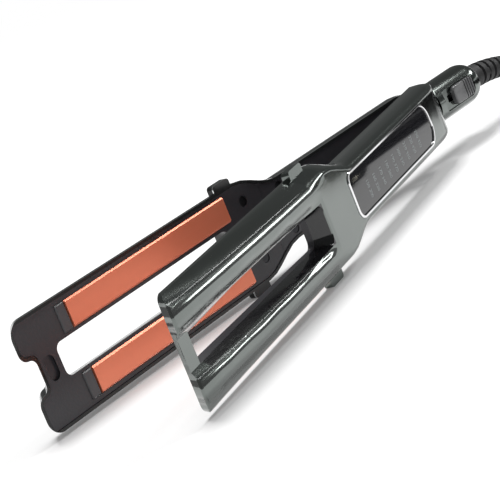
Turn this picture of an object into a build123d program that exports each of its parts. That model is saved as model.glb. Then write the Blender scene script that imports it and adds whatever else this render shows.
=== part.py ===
"""Hair straightener with forked arms, lying open on its side, with its cord wound up behind it.

All sizes are in millimetres. The arms are drawn closed: x runs along them towards the tip and is 0 at
the rear end of the heating plates, y runs across them and z is the height above the parting plane,
where the two arms meet. Both arms are drawn with their outer side up. The lower one is then turned
over, the upper one is opened about the hinge pin, and the whole is laid on the wings of one side.
"""
from build123d import *
from math import asin, atan2, cos, degrees, hypot, radians, sin, sqrt, tan
import os

# Heating plates
plate_length = 96.0
plate_width = 10.8
plate_inner_edge = 8.1
plate_thickness = 2.0
plate_bevel = 0.7
plate_proud = 0.15
plate_play = 0.15
stop_gap = 0.7
stop_length = 4.8
stop_back = 2.0
heater_width = 6.8
heater_thickness = 1.1
carrier_floor = 1.2
pad_length = 9.0
pads_per_plate = 3

# Outline of the arms
tip_reach = 30.0
tip_half_width = 22.35
lower_tip_corner = 6.5
upper_tip_corner = 3.5
upper_tip_lean = 35.0
fork_rear_half_width = 21.3
shoulder_front = -8.0
shoulder_rear = -33.0
handle_half_width = 13.6
rim_gap = 0.2
lip_height = 2.2
wing_reach = 24.4
wing_height = 3.6
lower_wing_front = 3.3
lower_wing_length = 10.3
upper_wing_front = 8.5
upper_wing_length = 12.5

# Slot of the fork
slot_half_width = 6.5
slot_edge_half_width = 8.4
slot_rear = 4.0
slot_end_run = 2.0
slot_corner = 3.0
lower_slot_reach = 12.0
upper_slot_rear = 10.0
upper_slot_end_run = 5.5
upper_slot_front_half_width = 3.4
upper_slot_reach = 24.0
notch_half_width = 7.0
notch_depth = 6.5
notch_mouth_radius = 4.0
bridge_height = 2.9
bridge_half_width = 7.3
finger_recess_length = 10.0
finger_recess_width = 5.5
finger_recess_depth = 1.2

# Height of the arms over the parting plane, and half width of their flat outer side
lower_tip_height = 7.8
lower_fork_height = 10.6
lower_handle_height = 11.0
lower_handle_top_half_width = 9.0
upper_tip_height = 5.8
upper_fork_height = 10.2
upper_handle_height = 10.6
upper_handle_top_half_width = 11.7
tip_top_half_width = 18.3
fork_top_half_width = 17.3
fork_bulge = 0.25
fork_rounding = 1.6
handle_rounding = 3.0
lower_handle_bulge = 1.7
upper_handle_bulge = 0.7

# Walls and inner faces
side_wall = 1.2
top_wall = 2.0
slot_wall = 1.0
seat_clearance = 0.1
inner_face = 0.8
inner_thickness = 2.2
frame_rear = -22.0
frame_rib_height = 0.6

# Hinge
hinge_distance = 130.0
hinge_height = 5.0
open_angle = 15.6
upper_rear_overhang = 13.0
upper_rear_corner = 10.0
pin_radius = 1.5
pin_clearance = 0.05
ear_inner = 7.2
ear_thickness = 1.5
ear_radius = 3.4
bracket_depth = 4.2
bracket_thickness = 1.0
bracket_front_reach = 8.0
bracket_rear_reach = 6.5
bracket_half_width = 8.7
knuckle_radius = 3.2
knuckle_inner = 4.2
knuckle_outer = 6.9
cover_to_pin = 5.2
spring_wire = 1.2
spring_radius = 2.9
spring_turns = 5
spring_lower_leg = 10.4
spring_upper_leg = 11.0

# Rear barrel and lock
barrel_radius = 9.45
barrel_drop = 5.0
barrel_front = -144.5
barrel_length = 35.5
barrel_wall = 1.6
barrel_dome = 7.0
barrel_end_radius = 6.1
spigot_radius = 7.1
spigot_length = 6.0
window_front = -148.5
window_length = 24.1
window_half_width = 4.9
window_floor = 7.3
slider_length = 15.5
slider_half_width = 4.2
slider_height = 2.2
slider_play = 0.6
slider_ribs = 4
lock_travel = 7.0
lock_bar_depth = 5.6
lock_bar_thickness = 1.6
lock_bar_half_width = 2.5
lock_stem_length = 7.0
lock_stem_half_width = 1.4
hook_front = -113.0
hook_thickness = 4.0
hook_half_width = 4.0
lock_clearance = 0.35

# Display
ring_front = -22.7
ring_length = 99.0
ring_half_width = 10.0
ring_front_corner = 4.5
ring_rear_corner = 8.6
ring_width = 1.2
ring_proud = 0.4
ring_rebate = 1.2
lens_ledge = 2.0
lens_thickness = 1.0
lens_clearance = 0.05
module_length = 72.0
module_half_width = 6.2
board_thickness = 1.6

# Boards, wires and screws
board_half_width = 8.6
power_board_front = -48.0
power_board_length = 55.0
control_board_front = -37.0
control_board_length = 78.0
lead_radius = 0.7
screw_radius = 1.0
screw_head_radius = 2.0
screw_head_height = 1.0
screw_length = 4.5
screw_recess_radius = 2.25
screw_recess_depth = 1.3
fork_screw_x = -10.9
fork_screw_y = 12.4
handle_screw_x = -33.5
handle_screw_y = 9.4
screw_boss_radius = 2.2

# Cord, strain relief and plug
neck_radius = 4.5
neck_clearance = 0.06
neck_flange_radius = 6.4
neck_flange_thickness = 2.0
relief_length = 44.0
relief_bend_radius = 110.0
relief_base_radius = 5.5
relief_end_radius = 4.3
relief_collar = 6.5
relief_ribs = 8
relief_groove = 1.5
relief_groove_depth = 1.3
cord_radius = 3.25
coil_gap = 0.5
coil_mean_radius = 35.5
coil_half_turns = 7
coil_reach = 64.0
tie_thickness = 0.8
tie_width = 9.0
plug_face_width = 35.3
plug_face_height = 13.7
plug_length = 27.0
plug_back_width = 14.0
plug_back_height = 10.0
plug_pin_radius = 2.0
plug_pin_length = 19.0
plug_pin_spacing = 18.6

# Sizes that follow from the ones above
tip_x = plate_length + tip_reach
pivot_x = -hinge_distance
upper_rear_x = pivot_x - upper_rear_overhang
inner_back = inner_face + inner_thickness
plate_middle = plate_inner_edge + plate_width / 2
plate_back = plate_proud + plate_thickness
heater_back = plate_back + heater_thickness
carrier_back = heater_back + carrier_floor
screw_seat = inner_face + screw_recess_depth
window_end = plate_length + stop_gap + stop_length + plate_play
barrel_rear = barrel_front - barrel_length
tip_lean_slope = tan(radians(upper_tip_lean))
through_front = plate_length + upper_slot_reach
skin = 1.0


def block(x_low, x_high, y_low, y_high, z_low, z_high):
    """A plain block given by its six faces."""
    corner = Location((x_low, y_low, z_low))
    return corner * Box(x_high - x_low, y_high - y_low, z_high - z_low, align=Align.MIN)


def both_sides(shape):
    """A piece and its mirror image on the other side of the arm."""
    return shape + mirror(shape, about=Plane.XZ)


def ease(share):
    """A smooth step from 0 to 1."""
    return share * share * (3 - 2 * share)


def section(x, half_width, lip, top_half_width, height, bulge, rounding, bottom):
    """Cross-section of an arm: upright lips, bulged side walls, rounded edges and a flat outer side."""
    wall_run = half_width - top_half_width
    wall_rise = height - lip
    wall_length = hypot(wall_run, wall_rise)
    bulge_y = (half_width + top_half_width) / 2 + bulge * wall_rise / wall_length
    bulge_z = (lip + height) / 2 + bulge * wall_run / wall_length
    wall = ThreePointArc((half_width, lip), (bulge_y, bulge_z), (top_half_width, height))
    share = 1 - min(rounding, 0.6 * wall.length) / wall.length
    middle = wall @ (share / 2)
    upper = wall @ share
    edge_y = top_half_width - rounding
    corner = TangentArc(upper, (edge_y, height), tangent=wall % share)
    crown = corner @ 0.5
    outline = Curve() + [
        Line((-half_width, bottom), (half_width, bottom)),
        Line((half_width, bottom), (half_width, lip)),
        ThreePointArc((half_width, lip), middle, upper),
        ThreePointArc(upper, crown, (edge_y, height)),
        Line((edge_y, height), (-edge_y, height)),
        ThreePointArc((-edge_y, height), (-crown.X, crown.Y), (-upper.X, upper.Y)),
        ThreePointArc((-upper.X, upper.Y), (-middle.X, middle.Y), (-half_width, lip)),
        Line((-half_width, lip), (-half_width, bottom)),
    ]
    across = Plane(origin=(x, 0, 0), x_dir=(0, 1, 0), z_dir=(1, 0, 0))
    return across * make_face(outline.edges())


def fork_height(x, tip_height, rear_height):
    """The fork's outer side is a gentle arch that rises from the tip backwards."""
    share = (tip_x - x) / (tip_x - shoulder_front)
    return tip_height + (rear_height - tip_height) * (1 - (1 - share) ** 2)


def fork_stations(tip_height, rear_height):
    """Half width, lip, outer half width, height, bulge and edge rounding, from the tip backwards."""
    rows = []
    for x in (tip_x + 7, tip_x - 12, plate_length - 6, plate_length - 32, 32, shoulder_front):
        share = (tip_x - x) / (tip_x - shoulder_front)
        half_width = tip_half_width + (fork_rear_half_width - tip_half_width) * share
        top_half_width = tip_top_half_width + (fork_top_half_width - tip_top_half_width) * share
        rows.append((x, half_width, lip_height, top_half_width, fork_height(x, tip_height, rear_height),
                     fork_bulge, fork_rounding))
    return rows


def shoulder_stations(front_height, handle_height, handle_top_half_width, handle_bulge):
    """The S-shaped shoulder that narrows the fork to the handle."""
    rows = []
    for step in (1, 2, 3, 4, 5):
        share = step / 5
        x = shoulder_front + (shoulder_rear - shoulder_front) * share
        blend = ease(share)
        half_width = fork_rear_half_width + (handle_half_width - fork_rear_half_width) * blend
        top_half_width = fork_top_half_width + (handle_top_half_width - fork_top_half_width) * blend
        height = front_height + (handle_height - front_height) * blend
        rows.append((x, half_width, lip_height, top_half_width, height,
                     fork_bulge + (handle_bulge - fork_bulge) * blend,
                     fork_rounding + (handle_rounding - fork_rounding) * blend))
    return rows


def lower_stations():
    """The lower arm ends in the round barrel, so its section turns into a half circle."""
    rows = fork_stations(lower_tip_height, lower_fork_height)
    rows += shoulder_stations(lower_fork_height, lower_handle_height, lower_handle_top_half_width,
                              lower_handle_bulge)
    taper_front = pivot_x + 8
    round_top = 2.0
    round_height = barrel_drop + sqrt(barrel_radius ** 2 - round_top ** 2)
    chord = hypot(barrel_radius - round_top, round_height - barrel_drop)
    round_bulge = barrel_radius - sqrt(barrel_radius ** 2 - (chord / 2) ** 2)
    rows.append(((shoulder_rear + taper_front) / 2, handle_half_width, lip_height,
                 lower_handle_top_half_width, lower_handle_height, lower_handle_bulge, handle_rounding))
    for step in (0, 1, 2, 3, 4):
        blend = ease(step / 4)
        x = taper_front + (barrel_front + rim_gap / 2 - taper_front) * step / 4
        rows.append((x,
                     handle_half_width + (barrel_radius - handle_half_width) * blend,
                     lip_height + (barrel_drop - lip_height) * blend,
                     lower_handle_top_half_width + (round_top - lower_handle_top_half_width) * blend,
                     lower_handle_height + (round_height - lower_handle_height) * blend,
                     lower_handle_bulge + (round_bulge - lower_handle_bulge) * blend,
                     handle_rounding + (1.0 - handle_rounding) * blend))
    return rows


def upper_stations():
    """The upper arm keeps its handle section until its outer side falls away to the rear end."""
    rows = fork_stations(upper_tip_height, upper_fork_height)
    rows += shoulder_stations(upper_fork_height, upper_handle_height, upper_handle_top_half_width,
                              upper_handle_bulge)
    fall_front = pivot_x - 1
    fall_length = upper_rear_overhang + 0.5
    for x in ((shoulder_rear + fall_front) / 2, fall_front):
        rows.append((x, handle_half_width, lip_height, upper_handle_top_half_width,
                     upper_handle_height, upper_handle_bulge, handle_rounding))
    for share in (0.35, 0.62, 0.82, 0.96):
        fall = 1 - sqrt(1 - share ** 2)
        rows.append((fall_front - fall_length * share, handle_half_width, lip_height * (1 - 0.5 * fall),
                     upper_handle_top_half_width - 2.0 * fall, upper_handle_height - 5.5 * fall,
                     upper_handle_bulge, handle_rounding * (1 - 0.5 * fall)))
    return rows


def arm_loft(rows, inset, top_inset, bottom):
    """The arm's body through its stations, drawn in by a wall on the sides and on top."""
    faces = []
    for x, half_width, lip, top_half_width, height, bulge, rounding in rows:
        faces.append(section(x, half_width - inset, lip, top_half_width - inset,
                             height - top_inset, bulge, max(0.4, rounding - inset / 2), bottom))
    return loft(faces, ruled=True)


def rounded_plan(front_x, rear_x, half_width, front_radius, rear_radius, lean_slope=0):
    """A prism with rounded front and rear corners, whose front end may lean forward."""
    height = 20
    outlines = []
    for z in (-height, height):
        front = front_x + lean_slope * z
        outline = Pos((front + rear_x) / 2, 0) * Rectangle(front - rear_x, 2 * half_width)
        ends = outline.vertices().group_by(Axis.X)
        if front_radius > 0:
            outline = fillet(ends[-1], front_radius)
            ends = outline.vertices().group_by(Axis.X)
        if rear_radius > 0:
            outline = fillet(ends[0], rear_radius)
        outlines.append(Pos(0, 0, z) * outline)
    return loft(outlines, ruled=True)


def tip_notch(inset):
    """The notch in the middle of the lower tip, with rounded mouth and rounded inner corners."""
    half_width = notch_half_width + inset
    root = tip_x - notch_depth - inset
    mouth = notch_mouth_radius - inset / 2
    front = tip_x - inset
    inner = slot_corner
    outline = Curve() + [
        Line((root, half_width - inner), (root, inner - half_width)),
        RadiusArc((root, inner - half_width), (root + inner, -half_width), -inner),
        Line((root + inner, -half_width), (front - mouth, -half_width)),
        RadiusArc((front - mouth, -half_width), (front, -half_width - mouth), mouth),
        Line((front, -half_width - mouth), (front + 2, -half_width - mouth)),
        Line((front + 2, -half_width - mouth), (front + 2, half_width + mouth)),
        Line((front + 2, half_width + mouth), (front, half_width + mouth)),
        RadiusArc((front, half_width + mouth), (front - mouth, half_width), mouth),
        Line((front - mouth, half_width), (root + inner, half_width)),
        RadiusArc((root + inner, half_width), (root, half_width - inner), -inner),
    ]
    return Pos(0, 0, -20) * extrude(make_face(outline.edges()), 40)


def slot_outline(is_upper, level, grow):
    """The slot's outline: level 0 is at the parting plane and level 1 at the arm's outer side."""
    rear = upper_slot_rear if is_upper else slot_rear
    end_run = upper_slot_end_run if is_upper else slot_end_run
    front = tip_x + 11 if is_upper else plate_length + lower_slot_reach
    front_half_width = upper_slot_front_half_width if is_upper else slot_half_width
    tip_height = upper_tip_height if is_upper else lower_tip_height
    rear_height = upper_fork_height if is_upper else lower_fork_height
    x_rear = rear - end_run * level - grow
    x_front = front + (0 if is_upper else slot_end_run * level + grow)
    y_rear = slot_half_width + (slot_edge_half_width - slot_half_width) * level + grow
    y_front = front_half_width + (slot_edge_half_width - front_half_width) * level + grow
    z_rear = fork_height(rear, tip_height, rear_height) * level
    z_front = fork_height(front, tip_height, rear_height) * level
    outline = make_face(Polyline((x_rear, -y_rear, z_rear), (x_front, -y_front, z_front),
                                 (x_front, y_front, z_front), (x_rear, y_rear, z_rear),
                                 close=True).edges())
    ends = outline.vertices().group_by(Axis.X)
    outline = fillet(ends[0], slot_corner + 1.5 * level)
    if not is_upper:
        ends = outline.vertices().group_by(Axis.X)
        outline = fillet(ends[-1], slot_corner + 1.5 * level)
    return outline


def slot_tool(is_upper, grow):
    """The fork's slot, which widens towards the outer side, and below the parting plane too."""
    low = slot_outline(is_upper, 0, grow)
    tool = loft([low, slot_outline(is_upper, 1.4, grow)], ruled=True)
    return tool + extrude(low, amount=20, dir=(0, 0, -1))


def slot_cut(is_upper):
    """What the slot takes away: the upper one runs out over the bridge, which it leaves standing."""
    cut = slot_tool(is_upper, 0)
    if is_upper:
        cut -= block(through_front, tip_x + 20, -20, 20, -30, bridge_height)
    return cut


def slot_edge_cut(is_upper):
    """Rounds the edges between the slot's walls and the arm's outer side."""
    tip_height = upper_tip_height if is_upper else lower_tip_height
    rear_height = upper_fork_height if is_upper else lower_fork_height
    tool = slot_tool(is_upper, 0)
    front = tip_x + 7 if is_upper else plate_length + lower_slot_reach - 2
    rear = 11.0
    faces = []
    for number in range(5):
        x = front + (rear - front) * number / 4
        height = fork_height(x, tip_height, rear_height)
        half_width = tool_half_width(tool, x, height)
        size = fork_rounding if number < 4 else 0.1
        if number == 0 and not is_upper:
            size = 0.1
        lean = atan2(half_width - tool_half_width(tool, x, height - 2), 2)
        foot = (half_width - size * sin(lean), height - size * cos(lean))
        crown = TangentArc(foot, (half_width + size, height), tangent=(sin(lean), cos(lean))) @ 0.5
        outline = Curve() + [
            Line((half_width - 3, foot[1]), foot),
            ThreePointArc(foot, crown, (half_width + size, height)),
            Line((half_width + size, height), (half_width + size, height + 1)),
            Line((half_width + size, height + 1), (half_width - 3, height + 1)),
            Line((half_width - 3, height + 1), (half_width - 3, foot[1])),
        ]
        across = Plane(origin=(x, 0, 0), x_dir=(0, 1, 0), z_dir=(1, 0, 0))
        faces.append(across * make_face(outline.edges()))
    return both_sides(loft(faces, ruled=True))


def tip_edge_cut(is_upper):
    """Rounds the edge between the tip's end face and the outer side."""
    slope = tip_lean_slope if is_upper else 0.0
    tip_height = upper_tip_height if is_upper else lower_tip_height
    rear_height = upper_fork_height if is_upper else lower_fork_height
    lean = atan2(slope, 1)
    top = fork_height(tip_x + slope * tip_height, tip_height, rear_height)
    edge = tip_x + slope * top
    foot = (edge - fork_rounding * sin(lean), top - fork_rounding * cos(lean))
    back = edge - fork_rounding
    crest = (back, fork_height(back, tip_height, rear_height))
    crown = TangentArc(foot, crest, tangent=(sin(lean), cos(lean))) @ 0.5
    outline = Curve() + [
        ThreePointArc(foot, crown, crest),
        Line(crest, (back, top + 3)),
        Line((back, top + 3), (edge + 4, top + 3)),
        Line((edge + 4, top + 3), (edge + 4, foot[1])),
        Line((edge + 4, foot[1]), foot),
    ]
    return extrude(Plane.XZ * make_face(outline.edges()), 30, both=True)


def tool_half_width(tool, x, z):
    """Half the width of the slot at a place along it and a height."""
    cut = tool & block(x - 0.01, x + 0.01, 0, 20, z - 0.01, z + 0.01)
    return cut.bounding_box().max.Y


def arm_body(is_upper, inset, top_inset, bottom):
    """The arm with its rounded tip and rear end, without its slot."""
    rows = upper_stations() if is_upper else lower_stations()
    body = arm_loft(rows, inset, top_inset, bottom)
    if is_upper:
        front = rounded_plan(tip_x - inset, shoulder_rear, tip_half_width, upper_tip_corner - inset, 0,
                             tip_lean_slope)
        rear = rounded_plan(shoulder_rear, upper_rear_x + inset, handle_half_width + upper_handle_bulge,
                            0, upper_rear_corner - inset)
        return body & (front + rear)
    front = rounded_plan(tip_x - inset, shoulder_rear, tip_half_width, lower_tip_corner - inset, 0)
    rear = rounded_plan(shoulder_rear, barrel_front + rim_gap / 2, handle_half_width + lower_handle_bulge,
                        0, 0)
    return (body & (front + rear)) - tip_notch(inset)


def cavity(is_upper, clearance):
    """The hollow inside an arm's casing, less a clearance all round, with the slot's walls left out."""
    hollow = arm_body(is_upper, side_wall + clearance, top_wall + clearance, -skin)
    return hollow - slot_tool(is_upper, slot_wall + clearance)


def screw_places():
    return [(fork_screw_x, fork_screw_y), (fork_screw_x, -fork_screw_y),
            (handle_screw_x, handle_screw_y), (handle_screw_x, -handle_screw_y)]


def wing(front_x, length):
    """The side tab that the straightener rests on, with rounded outer corners."""
    root = fork_rear_half_width - side_wall / 2
    outline = Pos(front_x - length / 2, (root + wing_reach) / 2) * Rectangle(length, wing_reach - root)
    outline = fillet(outline.vertices().group_by(Axis.Y)[-1], 1.5)
    tab = Pos(0, 0, rim_gap) * extrude(outline, wing_height - rim_gap)
    return both_sides(tab)


def casing(is_upper):
    """The outer casing of one arm: hollow, open at the parting plane, with the walls of its slot."""
    shell = arm_body(is_upper, 0, 0, rim_gap)
    shell -= cavity(is_upper, 0)
    for x, y in screw_places():
        post = Pos(x, y, inner_back) * extrude(Circle(screw_boss_radius), 20)
        shell += post & arm_body(is_upper, side_wall / 2, top_wall / 2, 0)
    for x, y in screw_places():
        shell -= Pos(x, y, 0) * extrude(Circle(screw_radius), screw_seat + screw_length + 0.1)
    shell -= slot_cut(is_upper)
    shell -= slot_edge_cut(is_upper)
    shell -= tip_edge_cut(is_upper)
    ring = slot_wall + 1.5
    frame_front = through_front if is_upper else plate_length + lower_slot_reach + ring
    shell -= block(slot_rear - ring, frame_front, -slot_half_width - ring, slot_half_width + ring,
                   -skin, inner_back)
    if is_upper:
        shell += wing(upper_wing_front, upper_wing_length)
        shell -= display_opening()
    else:
        shell += wing(lower_wing_front, lower_wing_length)
        shell += rear_supports()
        shell -= rear_relief()
    return shell


def rear_supports():
    """Bulkhead round the barrel's spigot, and the ribs that the hinge bracket stands on."""
    solid = block(barrel_front, barrel_front + spigot_length, -20, 20, rim_gap, 20)
    back = bracket_depth + bracket_thickness
    solid += both_sides(block(pivot_x - 5, pivot_x + 5, 5.4, 7.4, back, 20))
    return solid & arm_body(False, side_wall / 2, top_wall / 2, 0)


def rear_relief():
    """The hollow that lets the rear end of the upper arm swing down, and the bore for the spigot."""
    profile = Plane.XZ * make_face(Polyline(
        (pivot_x + 3, -skin), (pivot_x + 3, rim_gap), (pivot_x - 1, bracket_depth),
        (barrel_front - skin, bracket_depth), (barrel_front - skin, -skin), close=True).edges())
    front = barrel_front + spigot_length + seat_clearance
    bore = turned([(barrel_front - skin, 0), (barrel_front - skin, spigot_radius + seat_clearance),
                   (front, spigot_radius + seat_clearance), (front, 0)], barrel_drop)
    return extrude(profile, 20, both=True) + bore


def display_outline(inset, z):
    """The ring's outline: nearly a half circle at the rear, squarer at the front."""
    half_width = ring_half_width - inset
    outline = Pos(ring_front - ring_length / 2, 0, z) * Rectangle(ring_length - 2 * inset, 2 * half_width)
    outline = fillet(outline.vertices().group_by(Axis.X)[-1], ring_front_corner - min(inset, 2.5))
    return fillet(outline.vertices().group_by(Axis.X)[0], ring_rear_corner - min(inset, 5))


def display_opening():
    """The rebate for the ring and the lens, and the window through the casing under them."""
    rebate_floor = upper_handle_height - ring_rebate
    rebate = extrude(display_outline(-lens_clearance, rebate_floor), 10)
    window = extrude(display_outline(ring_width + lens_ledge, rebate_floor - top_wall), 10)
    return rebate + window


def display_ring():
    floor = upper_handle_height - ring_rebate
    ring = extrude(display_outline(0, floor), ring_rebate + ring_proud)
    ring -= extrude(display_outline(ring_width, floor - skin), 10)
    top_edges = ring.faces().sort_by(Axis.Z)[-1].edges()
    return chamfer(top_edges, 0.3)


def display_lens():
    floor = upper_handle_height - ring_rebate
    return extrude(display_outline(ring_width + lens_clearance, floor), lens_thickness)


def display_module():
    """Light guide block with the digits, standing on the control board under the lens."""
    low = inner_back + board_thickness
    high = upper_handle_height - ring_rebate - lens_clearance
    middle = ring_front - ring_length / 2
    body = block(middle - module_length / 2, middle + module_length / 2, -module_half_width,
                 module_half_width, low, high)
    cells = []
    for column in range(9):
        x = middle + (column - 4) * module_length / 9
        cells.append(block(x - 2.6, x + 2.6, -4.2, 4.2, high - 0.6, high + skin))
    return body - cells


def control_board():
    board = block(control_board_front - control_board_length, control_board_front, -board_half_width,
                  board_half_width, inner_back, inner_back + board_thickness)
    chip_top = inner_back + board_thickness + 1.2
    rear = control_board_front - control_board_length
    chips = block(rear + 1, rear + 5, -4, 4, inner_back, chip_top)
    return board + chips


def power_board():
    """Mains board with its driver parts on the outer side."""
    rear = power_board_front - power_board_length
    back = inner_back + board_thickness
    board = block(rear, power_board_front, -board_half_width, board_half_width, inner_back, back)
    board += block(rear + 4, rear + 16, -5, 5, back, back + 3.6)
    board += block(rear + 20, rear + 30, -6, 1, back, back + 2.8)
    board += Pos(power_board_front - 12, 0, back) * extrude(Circle(3.6), 3.8)
    return board


def plate_frame(is_upper):
    """The heat-resistant inner face of the fork, with a window for each plate."""
    rear_part = block(frame_rear, tip_x + skin, -40, 40, inner_face, inner_back)
    frame = arm_body(is_upper, side_wall + seat_clearance, top_wall + seat_clearance, 0) & rear_part
    frame -= slot_cut(is_upper)
    if is_upper:
        frame -= block(through_front - seat_clearance, tip_x + 20, -bridge_half_width,
                       bridge_half_width, -skin, 20)
    y_low = plate_inner_edge - plate_play
    y_high = plate_inner_edge + plate_width + plate_play
    frame += block(slot_rear - 10, slot_rear - 9, -slot_half_width, slot_half_width, inner_back - 0.2,
                   inner_back + frame_rib_height)
    frame -= both_sides(block(-plate_play, plate_length + plate_play, y_low, y_high, -skin, 20))
    frame -= both_sides(block(plate_length, window_end, y_low, y_high, -skin, stop_back))
    for x, y in screw_places()[:2]:
        frame -= Pos(x, y, 0) * extrude(Circle(screw_recess_radius), screw_seat)
        frame -= Pos(x, y, 0) * extrude(Circle(screw_radius), 10)
    if not is_upper:
        middle = plate_length + (lower_slot_reach + tip_reach - notch_depth) / 2
        recess = Pos(middle, 0, 0) * Rot(0, 0, 90) * SlotOverall(finger_recess_length, finger_recess_width)
        frame -= extrude(recess, inner_face + finger_recess_depth)
    return frame


def heating_plate(side):
    """Aluminium strip with bevelled long edges, its face just proud of the frame."""
    y_low = plate_middle * side - plate_width / 2
    y_high = plate_middle * side + plate_width / 2
    profile = Plane.YZ * make_face(Polyline(
        (y_low, plate_back), (y_low, plate_proud + plate_bevel), (y_low + plate_bevel, plate_proud),
        (y_high - plate_bevel, plate_proud), (y_high, plate_proud + plate_bevel),
        (y_high, plate_back), close=True).edges())
    return extrude(profile, plate_length)


def heater(side):
    y = plate_middle * side
    return block(4, plate_length - 4, y - heater_width / 2, y + heater_width / 2, plate_back, heater_back)


def carrier(side):
    """Tray behind a plate that holds the heater against it."""
    y = plate_middle * side
    half = min(plate_width / 2 - 0.9, heater_width / 2 + 1.1)
    tray = block(1, plate_length - 1, y - half, y + half, plate_back, carrier_back)
    pocket = block(3, plate_length - 3, y - heater_width / 2, y + heater_width / 2, 0, heater_back)
    return tray - pocket


def pads(is_upper):
    """Silicone pads between the carriers and the casing."""
    inside = cavity(is_upper, 0)
    group = Part()
    for side in (-1, 1):
        y = plate_middle * side
        for number in range(pads_per_plate):
            x = plate_length * (number + 0.5) / pads_per_plate
            pad = block(x - pad_length / 2, x + pad_length / 2, y - 2.8, y + 2.8, carrier_back, 20)
            group += pad & inside
    return group


def plate_stops():
    x_low = plate_length + stop_gap
    strip = block(x_low, x_low + stop_length, plate_inner_edge, plate_inner_edge + plate_width,
                  plate_proud, stop_back)
    return both_sides(chamfer(strip.faces().sort_by(Axis.Z)[0].edges(), 0.4))


def screws():
    """Two screws hold the frame and two hold the handle's inner face."""
    group = Part()
    for x, y in screw_places():
        head = extrude(Circle(screw_head_radius), screw_head_height)
        shank = extrude(Circle(screw_radius), screw_length)
        group += Pos(x, y, screw_seat - screw_head_height) * head + Pos(x, y, screw_seat) * shank
    return group


def handle_blank(is_upper, rear_x):
    slab = block(rear_x, frame_rear - seat_clearance, -40, 40, inner_face, inner_back)
    blank = arm_body(is_upper, side_wall + seat_clearance, top_wall + seat_clearance, 0) & slab
    for x, y in screw_places()[2:]:
        blank -= Pos(x, y, 0) * extrude(Circle(screw_recess_radius), screw_seat)
        blank -= Pos(x, y, 0) * extrude(Circle(screw_radius), 10)
    return blank


def upper_inner_cover():
    """Inner face of the upper handle with the hinge knuckles and the hook of the lock."""
    cover = handle_blank(True, pivot_x + cover_to_pin)
    cheek = Plane.XZ * make_face(Polyline(
        (pivot_x, hinge_height - knuckle_radius), (pivot_x + cover_to_pin, inner_face),
        (pivot_x + 11, inner_face), (pivot_x + 11, inner_back), (pivot_x, hinge_height + knuckle_radius),
        close=True).edges())
    cheek += Pos(pivot_x, 0, hinge_height) * Rot(90, 0, 0) * Circle(knuckle_radius)
    knuckle = Pos(0, knuckle_outer, 0) * extrude(cheek, knuckle_outer - knuckle_inner)
    bore = Pos(pivot_x, 0, hinge_height) * Rot(90, 0, 0) * Cylinder(pin_radius + pin_clearance, 40)
    hook_low = lock_bar_depth + lock_bar_thickness + 1.2
    hook = block(hook_front - hook_thickness, hook_front, -hook_half_width, hook_half_width,
                 -hook_low, inner_face + skin)
    slot = block(hook_front - hook_thickness - skin, hook_front + skin,
                 -lock_bar_half_width - lock_clearance, lock_bar_half_width + lock_clearance,
                 -lock_bar_depth - lock_bar_thickness - lock_clearance, -lock_bar_depth + lock_clearance)
    leg_y = spring_half_width()
    notch = block(pivot_x, pivot_x + spring_lower_leg + 2, -leg_y - 1, 1 - leg_y, -skin, inner_back + 1)
    return cover - notch + both_sides(knuckle) - bore + (hook - slot)


def lower_inner_cover():
    """Inner face of the lower handle, with a hole for the hook of the lock."""
    cover = handle_blank(False, pivot_x + bracket_front_reach + 1)
    hole_edge = hook_half_width + 0.8
    return cover - block(hook_front - hook_thickness - 2.5, hook_front + 6, -hole_edge, hole_edge,
                         -skin, 20)


def heater_leads(board_front):
    """One wire from the rear of each carrier to the front edge of the board."""
    height = inner_back + lead_radius + 0.05
    group = Part()
    for side in (-1, 1):
        path = FilletPolyline((1, side * 11, height), (-3, side * 11, height), (-9, side * 8.4, height),
                              (-24, side * 4.5, height), (board_front, side * 4.5, height), radius=2.5)
        start = Plane(origin=path @ 0, z_dir=path % 0)
        group += sweep(start * Circle(lead_radius), path=path)
    return group


def thermal_fuse():
    x = frame_rear + 6
    return Pos(x, 0, inner_back + 1.3) * Rot(0, 90, 0) * Cylinder(1.3, 9)


def hinge_bracket():
    """Steel bracket on the lower arm: a base plate and two ears that hold the pin."""
    base = block(pivot_x - bracket_rear_reach, pivot_x + bracket_front_reach, -bracket_half_width,
                 bracket_half_width, -bracket_depth - bracket_thickness, -bracket_depth)
    ear = Plane.XZ * make_face(Polyline(
        (pivot_x - 6, -bracket_depth - bracket_thickness / 2), (pivot_x - ear_radius, hinge_height),
        (pivot_x + ear_radius, hinge_height), (pivot_x + 6, -bracket_depth - bracket_thickness / 2),
        close=True).edges())
    ear += Pos(pivot_x, 0, hinge_height) * Rot(90, 0, 0) * Circle(ear_radius)
    ears = both_sides(Pos(0, ear_inner + ear_thickness, 0) * extrude(ear, ear_thickness))
    bore = Pos(pivot_x, 0, hinge_height) * Rot(90, 0, 0) * Cylinder(pin_radius, 40)
    return base + ears - bore


def hinge_pin():
    length = 2 * (ear_inner + ear_thickness)
    return Pos(pivot_x, 0, hinge_height) * Rot(90, 0, 0) * Cylinder(pin_radius, length)


def spring_half_width():
    """Half the width of the spring's coil between the middles of its two legs."""
    return spring_turns * (spring_wire + 0.1) / 2


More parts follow.
